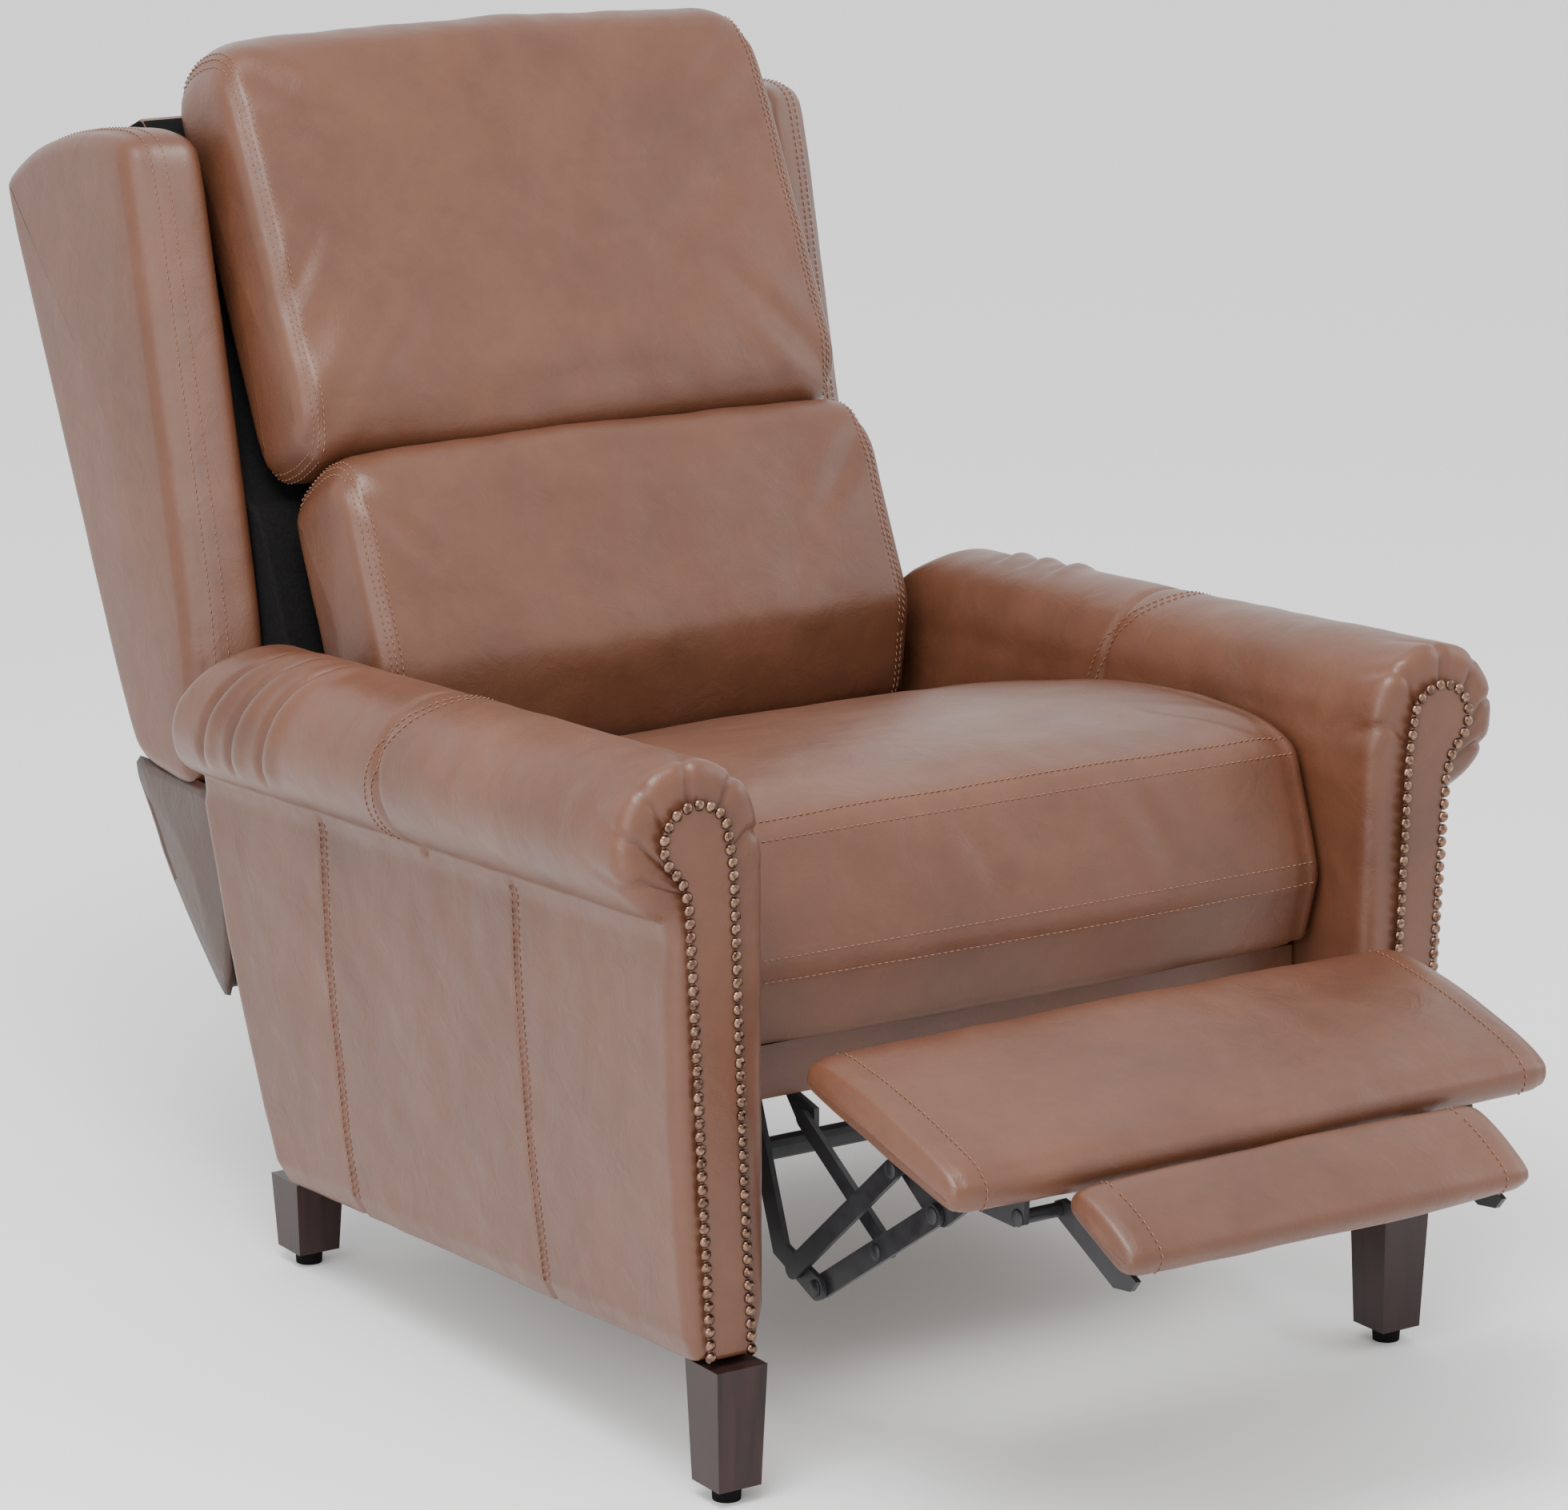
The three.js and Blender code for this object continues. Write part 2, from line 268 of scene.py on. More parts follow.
def enclosed(verts, faces):
    """Signed volume of a closed skin: positive when its faces point outward."""
    v = np.array([tuple(q) for q in verts], float)
    total = 0.0
    for size in {len(f) for f in faces}:
        corner = v[np.array([f for f in faces if len(f) == size])]
        for k in range(1, size - 1):
            total += np.einsum("ij,ij->", corner[:, 0], np.cross(corner[:, k], corner[:, k + 1]))
    return total / 6


def mesh_object(name, verts, faces, material):
    """A smooth closed object, its faces turned outward."""
    if enclosed(verts, faces) < 0:
        faces = [f[::-1] for f in faces]
    mesh = bpy.data.meshes.new(name)
    mesh.from_pydata([tuple(v) for v in verts], [], faces)
    mesh.polygons.foreach_set("use_smooth", [True] * len(mesh.polygons))
    mesh.materials.append(material)
    mesh.update()
    made = bpy.data.objects.new(name, mesh)
    bpy.context.scene.collection.objects.link(made)
    return made


def band(first, count):
    """Faces between the ring of count points that starts at first and the ring after it."""
    faces = []
    for i in range(count):
        a, b = first + i, first + (i + 1) % count
        faces.append((a, b, b + count, a + count))
    return faces


def loft(name, grid, centres, cap_rings=5):
    """Closed leather skin over a grid of rings, its two ends filled towards the given centres."""
    count = grid.shape[1]
    head, tail = [], []
    for k in range(1, cap_rings):
        f = 1 - k / cap_rings
        head.append(centres[0] + (grid[0] - centres[0]) * f)
        tail.append(centres[1] + (grid[-1] - centres[1]) * f)
    rings = head[::-1] + list(grid) + tail
    verts = np.vstack(rings + [np.array(centres[0])[None], np.array(centres[1])[None]])
    faces = []
    for j in range(len(rings) - 1):
        faces += band(j * count, count)
    last_ring = (len(rings) - 1) * count
    first_tip = len(rings) * count
    last_tip = first_tip + 1
    for i in range(count):
        k = (i + 1) % count
        faces.append((first_tip, k, i))
        faces.append((last_tip, last_ring + i, last_ring + k))
    return mesh_object(name, verts, faces, LEATHER)


def line_at(line, steps, at):
    return np.array([np.interp(at, steps, line[:, k]) for k in range(3)])


def dashes(name, rows):
    """Thread stitches along rows. Each row is a line of points with their normals."""
    verts, faces = [], []
    for path, normals in rows:
        steps = travelled(path)
        at = STITCH_MARGIN
        while at + STITCH_LENGTH < steps[-1]:
            places = (at, at + STITCH_LENGTH / 2, at + STITCH_LENGTH)
            points = [line_at(path, steps, s) for s in places]
            ups = [line_at(normals, steps, s) for s in places]
            run = points[2] - points[0]
            run /= np.linalg.norm(run) + TINY
            base = len(verts)
            for point, up, (thickness, rise) in zip(points, ups, STITCH_SHAPE):
                side = np.cross(run, up)
                side /= np.linalg.norm(side) + TINY
                c = point + up * (STITCH_LIFT + STITCH_RADIUS * rise)
                r = STITCH_RADIUS * thickness
                verts += [c + side * r, c + up * r, c - side * r, c - up * r]
            faces += band(base, 4) + band(base + 4, 4)
            faces += [(base + 3, base + 2, base + 1, base), (base + 8, base + 9, base + 10, base + 11)]
            at += STITCH_LENGTH + STITCH_GAP
    return mesh_object(name, verts, faces, THREAD)


def domes(name, heads, material):
    """Round heads. Each is a rule that gives the point at a radius, angle and rise, with its tip."""
    verts, faces = [], []
    for rule, tip in heads:
        base = len(verts)
        for radius, rise in DOME_PROFILE:
            verts += [rule(radius, 2 * math.pi * i / DOME_SIDES, rise) for i in range(DOME_SIDES)]
        verts.append(tip)
        for j in range(len(DOME_PROFILE) - 1):
            faces += band(base + j * DOME_SIDES, DOME_SIDES)
        top = base + (len(DOME_PROFILE) - 1) * DOME_SIDES
        for i in range(DOME_SIDES):
            faces.append((top + i, top + (i + 1) % DOME_SIDES, len(verts) - 1))
        faces.append(tuple(base + i for i in reversed(range(DOME_SIDES))))
    return mesh_object(name, verts, faces, material)


# ---------------------------------------------------------------- relief, as shifts along the normals
def cloud(p, scale, seed=0.0):
    flat = p.reshape(-1, 3)
    values = [noise.noise(Vector((q[0] * scale + seed, q[1] * scale, q[2] * scale))) for q in flat]
    return np.array(values).reshape(p.shape[:-1])


def dip(distance, depth, width):
    return -depth * np.exp(-(distance / width) ** 2)


def groove(p, y, z, depth, width):
    """A seam that runs straight across the chair through (y, z)."""
    return dip(np.hypot(p[..., 1] - y, p[..., 2] - z), depth, width)


def crease(p, a, b, depth, width):
    """A fold from a to b: a valley with a low ridge beside it, dying away at its ends."""
    ab = b - a
    t = np.clip(((p - a) @ ab) / (ab @ ab), 0, 1)
    d = np.linalg.norm(p - (a + t[..., None] * ab), axis=-1)
    fade = np.sin(np.pi * np.clip(t * 0.86 + 0.07, 0, 1)) ** 0.7
    return fade * (dip(d, depth, width) - dip(d - 2.0 * width, 0.55 * depth, 1.3 * width))


# ---------------------------------------------------------------- stuffed pieces
END_BULGE = 0.004
CALM_SECTIONS = 5                     # sections over which the relief dies away at each end


def round_corner(section, beside, half, corner):
    """The section, beside metres from the middle of a cushion, pulled in where a corner is rounded."""
    at, inward, size, reach = corner
    share = min(max(beside - (half - size), 0) / size, 1)
    drop = size * (1 - math.sqrt(1 - share * share)) * 0.9
    depth = (section - to_row(at)) @ np.array(inward)
    weight = np.clip(1 - depth / reach, 0, 1)
    return section + (weight ** 1.5 * drop)[:, None] * np.array(inward)


def slanted(section, outer, slant):
    """The section with its front edge moved rearward, the more the further out it is."""
    at, rearward, amount, reach = slant
    depth = (section - to_row(at)) @ np.array(rearward)
    return section + (np.clip(1 - depth / reach, 0, 1) * amount * outer)[:, None] * np.array(rearward)


class Pad:
    """A stuffed piece: a (y, z) outline carried across the chair with round ends, crown, seams and folds."""

    def __init__(self, name, outline, x0, x1, radius, ring_count, step=0.006, rounds=2, crown=0.0,
                 corners=(), slant=None, grooves=(), ends=(), creases=(), wrinkle=0.0012, seed=0.0,
                 extra=None):
        self.ring = even(soften(to_row(outline), rounds), ring_count)
        ring_normals = outward(self.ring)
        middle, half = (x0 + x1) / 2, (x1 - x0) / 2
        grid = []
        for x, inset in stations(x0, x1, radius, step):
            fullness = 1 - abs((x - middle) / half) ** 2.5
            section = self.ring + ring_normals * (crown * fullness - inset)
            for corner in corners:
                section = round_corner(section, abs(x - middle), half, corner)
            if slant:
                outer = np.clip((abs(x) - min(abs(x0), abs(x1))) / (x1 - x0), 0, 1)
                section = slanted(section, outer, slant)
            grid.append(np.column_stack([np.full(len(section), x), section]))
        p = np.array(grid)
        d = wrinkle * (cloud(p, 9.0, seed) + 0.5 * cloud(p, 24.0, seed + 7))
        for y, z, depth, width in grooves:
            d += groove(p, *to_row((y, z)), depth, width)
        for x, depth, width in ends:
            d += dip(np.abs(p[..., 0]) - x, depth, width)
        for a, b, depth, width in creases:
            d += crease(p, to_row(a), to_row(b), depth, width)
        if extra is not None:
            d += extra(p)
        from_end = np.minimum(np.arange(len(p)), np.arange(len(p))[::-1])
        calm = np.clip(from_end / CALM_SECTIONS, 0, 1)
        self.points = p + grid_normals(p) * (d * calm[:, None])[..., None]
        self.normals = grid_normals(self.points)
        centre = self.ring.mean(0)
        self.object = loft(name, self.points, ((x0 - END_BULGE, *centre), (x1 + END_BULGE, *centre)))

    def across(self, y, z, shift):
        """The line across the pad, shift points past the point of its outline nearest to (y, z)."""
        distance = np.linalg.norm(self.ring - to_row((y, z)), axis=1)
        i = (int(np.argmin(distance)) + shift) % len(self.ring)
        inside = slice(CALM_SECTIONS, -CALM_SECTIONS)
        return self.points[inside, i], self.normals[inside, i]

    def around(self, station):
        """The line round the pad at one station."""
        return self.points[station], self.normals[station]


def place(pad, body, nodes, rows=()):
    o = pad.object
    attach(o, body)
    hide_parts(*nodes)
    if rows:
        s = dashes(o.name + "_stitches", rows)
        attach(s, body)


# ---------------------------------------------------------------- seat
SEAT = [
    (82, 352), (360, 352), (634, 352), (641, 380), (641, 450), (628, 475), (560, 503), (400, 538),
    (260, 555), (170, 554), (124, 544), (104, 536), (97, 527), (76, 470), (67, 440), (63, 424),
    (66, 412), (74, 380),
]
SEAT_TOP_SEAM = (103, 535)
SEAT_FRONT_SEAM = (63, 425)
SEAT_CREASES = (
    ((-290, 110, 535), (-235, 190, 556), 0.003, 0.009),
    ((290, 110, 535), (225, 200, 556), 0.003, 0.010),
    ((-60, 90, 520), (-30, 68, 450), 0.0014, 0.012),
    ((120, 90, 520), (150, 68, 450), 0.0014, 0.012),
)
seat = Pad("seat_cushion_skin", SEAT, -0.310, 0.310, 0.014, 230, crown=0.005,
           grooves=((*SEAT_TOP_SEAM, 0.0022, 0.0035), (*SEAT_FRONT_SEAM, 0.0020, 0.0035)),
           ends=((0.292, 0.0025, 0.004),), creases=SEAT_CREASES, wrinkle=0.0016, seed=3.0)
place(seat, "base", ["seat_cushion"],
      [seat.across(*seam, shift) for seam in (SEAT_TOP_SEAM, SEAT_FRONT_SEAM) for shift in (-2, 1)])

# ---------------------------------------------------------------- back cushions
EDGE_STITCHES = (4, 5, 6, -5, -6, -7)   # stations beside the two end seams
UP_THE_BACK = (0.43, 0.903)             # (y, z) along the leaning back
DOWN_THE_BACK = (-0.43, -0.903)
HEAD = [
    (800, 744), (836, 716), (872, 702), (892, 708), (974, 874), (1056, 1040), (1056, 1068), (1030, 1092),
    (992, 1100), (964, 1094), (944, 1068), (900, 985), (850, 880), (802, 786),
]
HEAD_CREASES = (
    ((-292, 800, 752), (-190, 850, 860), 0.0055, 0.012),
    ((292, 800, 752), (180, 850, 870), 0.0055, 0.013),
    ((-280, 960, 1080), (-170, 930, 1020), 0.0035, 0.012),
    ((280, 960, 1080), (160, 925, 1010), 0.0035, 0.012),
    ((-150, 806, 775), (120, 812, 790), 0.004, 0.016),
    ((-288, 850, 870), (-240, 880, 940), 0.003, 0.010),
)
head = Pad("head_cushion_skin", HEAD, -0.296, 0.296, 0.020, 180, crown=0.009,
           corners=(((1010, 1108), DOWN_THE_BACK, 0.055, 0.15), ((835, 716), UP_THE_BACK, 0.030, 0.10)),
           ends=((0.286, 0.003, 0.004),), creases=HEAD_CREASES, wrinkle=0.0030, seed=11.0)
place(head, "back", ["head_cushion"], [head.around(k) for k in EDGE_STITCHES])

LUMBAR = [
    (669, 552), (675, 500), (680, 471), (700, 455), (740, 456), (764, 487), (806, 584), (850, 682),
    (846, 702), (800, 736), (770, 744), (742, 728), (706, 650), (671, 574),
]
LUMBAR_CREASES = (
    ((-286, 750, 730), (-215, 712, 650), 0.004, 0.010),
    ((286, 750, 730), (205, 712, 650), 0.004, 0.011),
    ((-100, 745, 728), (90, 742, 724), 0.003, 0.014),
)
lumbar = Pad("lumbar_cushion_skin", LUMBAR, -0.292, 0.292, 0.020, 130, crown=0.007,
             corners=(((800, 745), DOWN_THE_BACK, 0.040, 0.12),),
             ends=((0.282, 0.003, 0.004),), creases=LUMBAR_CREASES, wrinkle=0.0022, seed=23.0)
place(lumbar, "back", ["lumbar_cushion"], [lumbar.around(k) for k in EDGE_STITCHES])

# ---------------------------------------------------------------- wings, core and skirt of the back
WING = [
    (846, 557), (857, 470), (868, 425), (985, 425), (1018, 451), (1134, 697), (1251, 943), (1240, 960),
    (1180, 993), (1090, 1015), (1010, 1023), (968, 1021), (950, 1004), (900, 790),
]
WING_INNER, WING_OUTER = 0.312, 0.379
WING_SLANT = ((900, 785), (0.975, -0.222), 0.040, 0.13)
for word, s in HANDS:
    x0, x1 = sorted((s * WING_INNER, s * WING_OUTER))
    wing = Pad(f"wing_{word}_skin", WING, x0, x1, 0.017, 210, step=0.005, crown=0.003, slant=WING_SLANT,
               ends=((0.364, 0.0024, 0.0035),), wrinkle=0.0014, seed=31.0 + s)
    outer_stitches = (-10, -8) if s > 0 else (9, 7)
    place(wing, "back", [f"wing_{word}"], [wing.around(k) for k in outer_stitches])

CORE = [
    (776, 462), (802, 428), (930, 428), (990, 432), (1018, 451), (1134, 697), (1251, 943), (1243, 953),
    (1150, 1000), (1068, 1030), (984, 860), (900, 690), (868, 684), (820, 573),
]
LEDGE_TOP = 0.95                        # below it, what faces up is the ledge behind the cushions
core = Pad("back_frame_skin", CORE, -0.3112, 0.3112, 0.004, 200, step=0.02, rounds=1, wrinkle=0.0010,
           seed=57.0)
core.object.data.materials.append(LINING)
for poly in core.object.data.polygons:
    on_ledge = poly.center.z < LEDGE_TOP and poly.normal.z > 0.5
    if poly.normal.y < -0.5 or on_ledge or abs(poly.normal.x) > 0.7:
        poly.material_index = 1
place(core, "back", ["back_frame"])

SKIRT = [
    (1010, 422), (972, 375), (952, 344), (902, 293), (840, 238), (834, 243), (836, 300), (846, 360),
    (856, 422), (930, 423), (990, 423),
]


def skirt_folds(p):
    x, z = p[..., 0], p[..., 2]
    return dip(z - 0.345 - 0.02 * np.sin(6 * x), 0.004, 0.010) + 0.003 * np.sin(38 * z + 9 * x)


skirt = Pad("back_skirt_skin", SKIRT, -0.371, 0.371, 0.008, 120, step=0.010, rounds=1, wrinkle=0.0030,
            seed=63.0, extra=skirt_folds)
# The skirt takes the darker leather copy, whose colour is painted shade.
skirt.object.data.materials[0] = SHADE_PAINTED_LEATHER
place(skirt, "back", ["back_skirt"])

# ---------------------------------------------------------------- leg rest
# Each panel is its rear edge, its direction away from the seat and the direction out of its top.
REST_PANEL = np.array([(-38.0, 391.0), (-0.9706, -0.2404), (-0.2404, 0.9706)])
FLIP_PANEL = np.array([(-265.0, 325.0), (-0.907, -0.421), (-0.421, 0.907)])
REST = [
    (0, -20), (3, -32), (12, -35.6), (110, -35.6), (208, -35.6), (220, -31), (223, -18), (217, -5),
    (190, 1), (110, 5), (30, 1), (5, -6),
]
REST_SEAM = (214, -4)
FLIP = [
    (2, -8), (0, -20), (6, -29), (16, -31), (48, -31), (80, -31), (91, -25), (95, -12), (87, -3),
    (50, 2), (12, 0),
]
PANEL_STITCHES = (9, -10)


def on_panel(panel, points):
    """Points given along and above a panel, as (y, z) in millimetres, in anticlockwise order."""
    edge, along, above = panel
    return [tuple(edge + q[0] * along + q[1] * above) for q in points[::-1]]


rest_seam, = on_panel(REST_PANEL, [REST_SEAM])
rest = Pad("footrest_pad_skin", on_panel(REST_PANEL, REST), -0.306, 0.306, 0.012, 110, crown=0.0035,
           grooves=((*rest_seam, 0.0018, 0.004),), ends=((0.297, 0.0016, 0.0035),), wrinkle=0.0016,
           seed=41.0)
place(rest, "leg_rest", ["footrest_pad"], [rest.around(k) for k in PANEL_STITCHES])
flip = Pad("flipper_pad_skin", on_panel(FLIP_PANEL, FLIP), -0.205, 0.205, 0.011, 80, crown=0.003,
           ends=((0.197, 0.0014, 0.0035),), wrinkle=0.0014, seed=47.0)
place(flip, "flipper", ["flipper_pad"], [flip.around(k) for k in PANEL_STITCHES])

# ---------------------------------------------------------------- arms
ROLL = (0.385, 0.565)                   # (x, z) of the middle of the roll
ROLL_R = 0.068
ARM_SECTION = [
    (0.312, 0.124), (0.350, 0.124), (0.386, 0.124), (0.395, 0.220), (0.401, 0.330), (0.402, 0.430),
    (0.4015, 0.497), *arc(*ROLL, ROLL_R, -56, 180, 40), (0.313, 0.540), (0.312, 0.450), (0.312, 0.300),
]
ARM_RING = even(soften(ARM_SECTION, 1), 260)
ARM_FRONT = 0.0053                      # the arm's leather starts this far behind the facing's front
ARM_REACH = 0.80                        # length that is divided evenly into sections
ARM_MIDDLE_X = 0.383
FRONT_CENTRE_Z, REAR_CENTRE_Z = 0.520, 0.490
# The shape of the rear: how far back the arm reaches at each height.
REAR_Z = np.array([0.050, 0.430, 0.470, 0.500, 0.540, 0.574, 0.598, 0.612, 0.622])
REAR_Y = np.array([0.708, 0.826, 0.812, 0.794, 0.776, 0.750, 0.718, 0.686, 0.650])
ARM_CALM_SECTIONS = 6
ROLL_SEAM_Y = 0.400
SIDE_SEAMS = (0.565, 0.232)
INNER_SEAMS = (0.200, 0.520)
ROLL_FOOT_Z = 0.503
ROLL_LIP_X, ROLL_LIP_Z = 0.404, 0.490   # outside, the roll's lip hangs below its foot
SIDE_TOP_Z, SIDE_X = 0.497, 0.370
INSIDE_TOP_Z, INSIDE_X = 0.520, 0.330
ROLL_STITCH_Z = 0.505
SIDE_STITCH_LOW_Z, SIDE_STITCH_TOP_Z, SIDE_STITCH_X = 0.140, 0.495, 0.380
ROLL_STITCH_GAP = 0.006                 # from a seam to the stitches beside it
SIDE_STITCH_GAP = 0.005
PLEAT_ANGLES = np.radians([176, 128, 84, 44, 8, -30])
PLEAT_TWIST = 5.0                       # radians per metre
PLEAT_START = 0.008
REAR_PLEATS = (0.600, 0.655, 0.705)


def side_seam(at, z):
    """How far back a side seam is at a height. The seams lean a little."""
    return at + 0.07 * (z - 0.12)


def arm_detail(p, s):
    """Seams and gathers of one arm skin, as a shift along its normals."""
    x, y = np.abs(p[..., 0]), p[..., 1] + SETBACK
    z = p[..., 2] + PITCH * y
    angle = np.arctan2(z - ROLL[1], x - ROLL[0])
    on_roll = (z > ROLL_FOOT_Z) | ((x > ROLL_LIP_X) & (z > ROLL_LIP_Z))
    d = 0.0011 * cloud(p, 12.0, 5.0 * s) + 0.0006 * cloud(p, 34.0, 9.0)
    d += on_roll * dip(y - ROLL_SEAM_Y, 0.0030, 0.004)
    for k, pleat in enumerate(PLEAT_ANGLES):
        gap = np.angle(np.exp(1j * (angle - pleat - PLEAT_TWIST * y)))
        fade = np.clip(1 - (y - PLEAT_START) / (0.040 + 0.010 * (k % 3)), 0, 1)
        d += on_roll * fade * (dip(gap, 0.0038, 0.060) - dip(gap - 0.22, 0.0010, 0.14))
    for k, at in enumerate(REAR_PLEATS):
        behind = y - at + 0.028 * (angle - 0.2) * (1.0 + 0.2 * k)
        fade = np.clip((1.9 - angle) / 0.5, 0, 1) * np.clip((angle + 0.75) / 0.4, 0, 1)
        d += on_roll * fade * (dip(behind, 0.0085, 0.0052) - dip(behind + 0.016, 0.0040, 0.011))
    on_side = (z <= SIDE_TOP_Z) & (x > SIDE_X)
    for at in SIDE_SEAMS:
        d += on_side * dip(y - side_seam(at, z), 0.0020, 0.0035)
    on_inside = (x < INSIDE_X) & (z < INSIDE_TOP_Z)
    for at in INNER_SEAMS:
        d += on_inside * dip(y - at, 0.0015, 0.0035)
    return d


def arm_grid(s):
    """The plain rings of one arm, from its upright front to its shaped rear."""
    ring_normals = outward(ARM_RING)
    grid = []
    for t, inset in stations(0.0, ARM_REACH, 0.016, 0.0042):
        section = ARM_RING - ring_normals * inset
        y = np.full(len(section), 0.4)
        for _ in range(6):              # the rear's place depends on the height, which drops with y
            rear = np.interp(section[:, 1] - PITCH * y, REAR_Z, REAR_Y)
            y = ARM_FRONT + t / ARM_REACH * (rear - ARM_FRONT)
        grid.append(np.column_stack([s * section[:, 0], y - SETBACK, section[:, 1] - PITCH * y]))
    return np.array(grid)


def arm_seams(p, n):
    """Stitch rows of one arm: on both sides of the roll's seam and of each side seam."""
    x, z = ARM_RING[:, 0], ARM_RING[:, 1]
    y = p[:, :, 1] + SETBACK
    rows = []
    top = np.where(z > ROLL_STITCH_Z)[0]
    for shift in (-ROLL_STITCH_GAP, ROLL_STITCH_GAP):
        j = int(np.argmin(np.abs(y[:, top].mean(1) - (ROLL_SEAM_Y + shift))))
        rows.append((p[j, top], n[j, top]))
    side = np.where((z > SIDE_STITCH_LOW_Z) & (z < SIDE_STITCH_TOP_Z) & (x > SIDE_STITCH_X))[0]
    for at in SIDE_SEAMS:
        for shift in (-SIDE_STITCH_GAP, SIDE_STITCH_GAP):
            wanted = side_seam(at, z[side]) + shift
            nearest = [int(np.argmin(np.abs(y[:, i] - want))) for i, want in zip(side, wanted)]
            line = p[nearest, side]
            line[:, 1] = wanted - SETBACK
            rows.append((line, n[nearest, side]))
    return rows


for word, s in HANDS:
    p = arm_grid(s)
    n = grid_normals(p)
    calm = np.clip(np.arange(len(p))[::-1] / ARM_CALM_SECTIONS, 0, 1)
    p = p + n * (arm_detail(p, s) * calm[:, None])[..., None]
    front_centre = np.array([s * ARM_MIDDLE_X, p[0, :, 1].mean(), FRONT_CENTRE_Z])
    rear_y = np.interp(REAR_CENTRE_Z, REAR_Z, REAR_Y) - SETBACK
    rear_centre = np.array([s * ARM_MIDDLE_X, rear_y, REAR_CENTRE_Z])
    arm = loft(f"arm_{word}_skin", p, (front_centre, rear_centre), cap_rings=6)
    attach(arm, "base")
    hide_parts(f"arm_{word}")
    thread = dashes(f"arm_{word}_stitches", arm_seams(p, n))
    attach(thread, "base")

# ---------------------------------------------------------------- nailed facings
FACING_ROUND = (0.3845, 0.567, 0.031)   # (x, z) and radius of the facing's round head
FACING_FOOT = 0.128
NAIL_FOOT = 0.130
INNER_EDGE = [(0.3395, 0.260), (0.345, 0.400), (0.3487, 0.523), (0.3502, 0.545), (0.354, 0.567)]
OUTER_EDGE = [(0.3795, 0.260), (0.386, 0.400), (0.392, 0.517), (0.398, 0.536)]
INNER_FOOT_X, OUTER_FOOT_X = 0.333, 0.3725
ROUND_START, ROUND_END = 168, -28       # degrees, from the inner edge over the top to the outer edge
EDGE_POINTS = 140
FACING_ROWS = 15
FACING_PUFF = 0.0012
FACING_REAR = 0.0049
inner = even([(INNER_FOOT_X, FACING_FOOT), *INNER_EDGE, *arc(*FACING_ROUND, ROUND_START, 90, 10)],
             EDGE_POINTS, closed=False)
outer = even([(OUTER_FOOT_X, FACING_FOOT), *OUTER_EDGE, *arc(*FACING_ROUND, ROUND_END, 90, 14)],
             EDGE_POINTS, closed=False)


def facing_line(line, depth, s):
    return np.column_stack([s * line[:, 0], np.full(len(line), depth - SETBACK), line[:, 1]])


for word, s in HANDS:
    rows = []
    for f in np.linspace(0, 1, FACING_ROWS):
        puff = FACING_PUFF * (1 - abs(2 * f - 1) ** 3)
        depth = -puff if 0 < f < 1 else FACING_PUFF
        rows.append(facing_line(inner * (1 - f) + outer * f, depth, s))
    rows += [facing_line(outer, FACING_REAR, s), facing_line(inner, FACING_REAR, s)]
    skin = np.transpose(np.array(rows), (1, 0, 2))
    facing = loft(f"arm_facing_{word}_skin", skin, (skin[0].mean(0), skin[-1].mean(0)), cap_rings=1)
    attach(facing, "base")
    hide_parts(f"arm_facing_{word}")

# ---------------------------------------------------------------- nails
NAIL_PITCH = 0.0113
NAIL_R = 0.0050
NAIL_GAP = 0.0002
NAIL_PATH = np.array([
    (INNER_FOOT_X, NAIL_FOOT), *INNER_EDGE, *arc(*FACING_ROUND, ROUND_START, ROUND_END, 13),
    *OUTER_EDGE[::-1], (OUTER_FOOT_X, NAIL_FOOT),
])
spots = even(NAIL_PATH, round(travelled(NAIL_PATH)[-1] / NAIL_PITCH) + 1, closed=False)


def nail_head(x, z, tilt):
    """A nail head on the facing's front, tipped a little sideways."""
    def rule(radius, angle, rise):
        lift = NAIL_R * (rise * 0.95 + tilt * radius * math.cos(angle)) + NAIL_GAP
        return (x + NAIL_R * radius * math.cos(angle), -lift - SETBACK, z + NAIL_R * radius * math.sin(angle))
    return rule, (x, -NAIL_R * 0.76 - SETBACK, z)


for word, s in HANDS:
    heads = [nail_head(s * x, z, 0.06 * math.sin(k * 2.7)) for k, (x, z) in enumerate(spots)]
    nails = domes(f"nails_{word}", heads, NAIL)
    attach(nails, "base")
    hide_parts(f"nail_trim_{word}")

# ---------------------------------------------------------------- rivet heads on the linkage
RIVET_R = 0.0075
RIVET_RISE = 0.003
RIVET_TIP = 0.0025
# The body a rivet rides on, its pivot in millimetres and how far out its bar's face is.
RIVETS = (
    ("rear_links", (44, 152), 0.2412), ("front_links", (-118, 260), 0.2357),
    ("front_links", (-37, 206), 0.2357), ("leg_rest", (-228, 288), 0.2302),
    ("scissor_links", (-74.6, 289.2), 0.2467),
)


def rivet_head(s, y, z, face):
    """A rivet head on the outer face of a bar, on one hand of the chair."""
    def rule(radius, angle, rise):
        return (s * (face + rise * RIVET_RISE), y + RIVET_R * radius * math.cos(s * angle),
                z + RIVET_R * radius * math.sin(s * angle))
    return rule, (s * (face + RIVET_TIP), y, z)


for k, (body, pivot, face) in enumerate(RIVETS):
    rivets = domes(f"rivets_{k}_{body}", [rivet_head(s, *to_row(pivot), face) for _, s in HANDS], STEEL)
    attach(rivets, body)

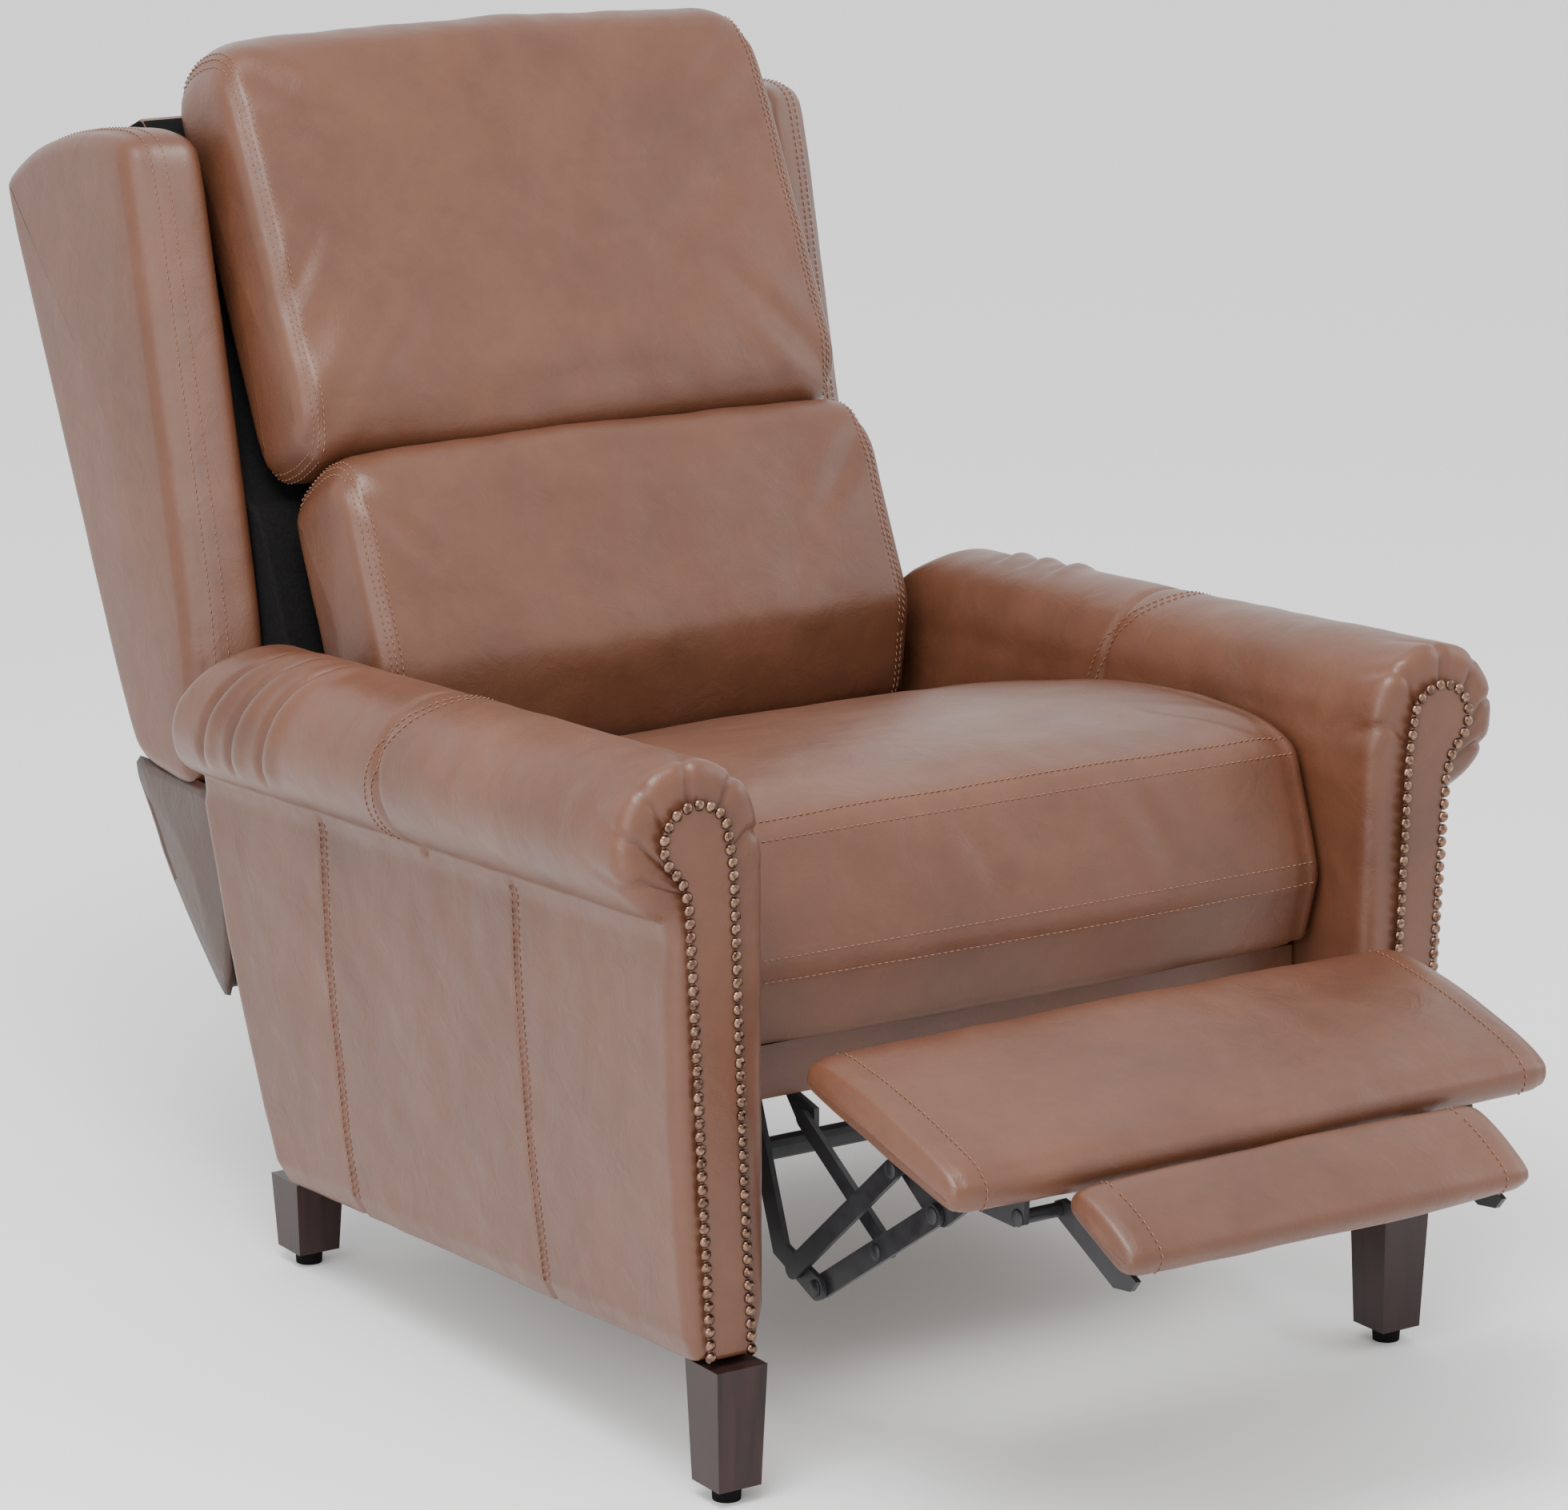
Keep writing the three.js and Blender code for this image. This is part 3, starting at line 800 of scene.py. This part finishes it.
# ---------------------------------------------------------------- floor, light, camera
FLOOR_HALF = 30.0
WORLD_STRENGTH = 1.5
CAMERA_AT = (-2.68592, -3.61418 - SETBACK, 1.69639)
CAMERA_BACK = (-0.5348, -0.8104, 0.2396)    # from what it looks at, towards the camera
LENS_MM = 127.65
SENSOR_MM = 36.0
floor_mesh = bpy.data.meshes.new("floor")
floor_mesh.from_pydata([(-FLOOR_HALF, -FLOOR_HALF, 0), (FLOOR_HALF, -FLOOR_HALF, 0),
                        (FLOOR_HALF, FLOOR_HALF, 0), (-FLOOR_HALF, FLOOR_HALF, 0)], [], [(0, 1, 2, 3)])
floor = bpy.data.objects.new("floor", floor_mesh)
bpy.context.scene.collection.objects.link(floor)
floor_paint, _, floor_shader, _ = new_material("floor_paint")
floor_shader.inputs["Base Color"].default_value = (0.86, 0.86, 0.86, 1)
floor_shader.inputs["Roughness"].default_value = 0.9
floor_mesh.materials.append(floor_paint)


def area(name, place_at, aim, size, power):
    data = bpy.data.lights.new(name, "AREA")
    data.size = size
    data.energy = power
    light = bpy.data.objects.new(name, data)
    light.location = place_at
    light.rotation_euler = (Vector(place_at) - Vector(aim)).to_track_quat("Z", "Y").to_euler()
    bpy.context.scene.collection.objects.link(light)


area("key", (-1.2, -1.0, 3.2), (0, 0, 0.5), 1.5, 105)
area("fill", (-3.0, -1.8, 1.3), (0, 0, 0.4), 2.0, 48)
area("side", (3.0, -1.4, 1.8), (0, 0, 0.5), 2.0, 25)
world = bpy.data.worlds.new("studio")
world.use_nodes = True
world.node_tree.nodes["Background"].inputs["Color"].default_value = (1, 1, 1, 1)
world.node_tree.nodes["Background"].inputs["Strength"].default_value = WORLD_STRENGTH
bpy.context.scene.world = world

camera_data = bpy.data.cameras.new("camera")
camera_data.lens = LENS_MM
camera_data.sensor_width = SENSOR_MM
camera = bpy.data.objects.new("camera", camera_data)
back = Vector(CAMERA_BACK).normalized()
right = Vector((0, 0, 1)).cross(back).normalized()
up = back.cross(right)
turn = Matrix((right, up, back)).transposed().to_4x4()
camera.matrix_world = Matrix.Translation(CAMERA_AT) @ turn
bpy.context.scene.collection.objects.link(camera)
bpy.context.scene.camera = camera
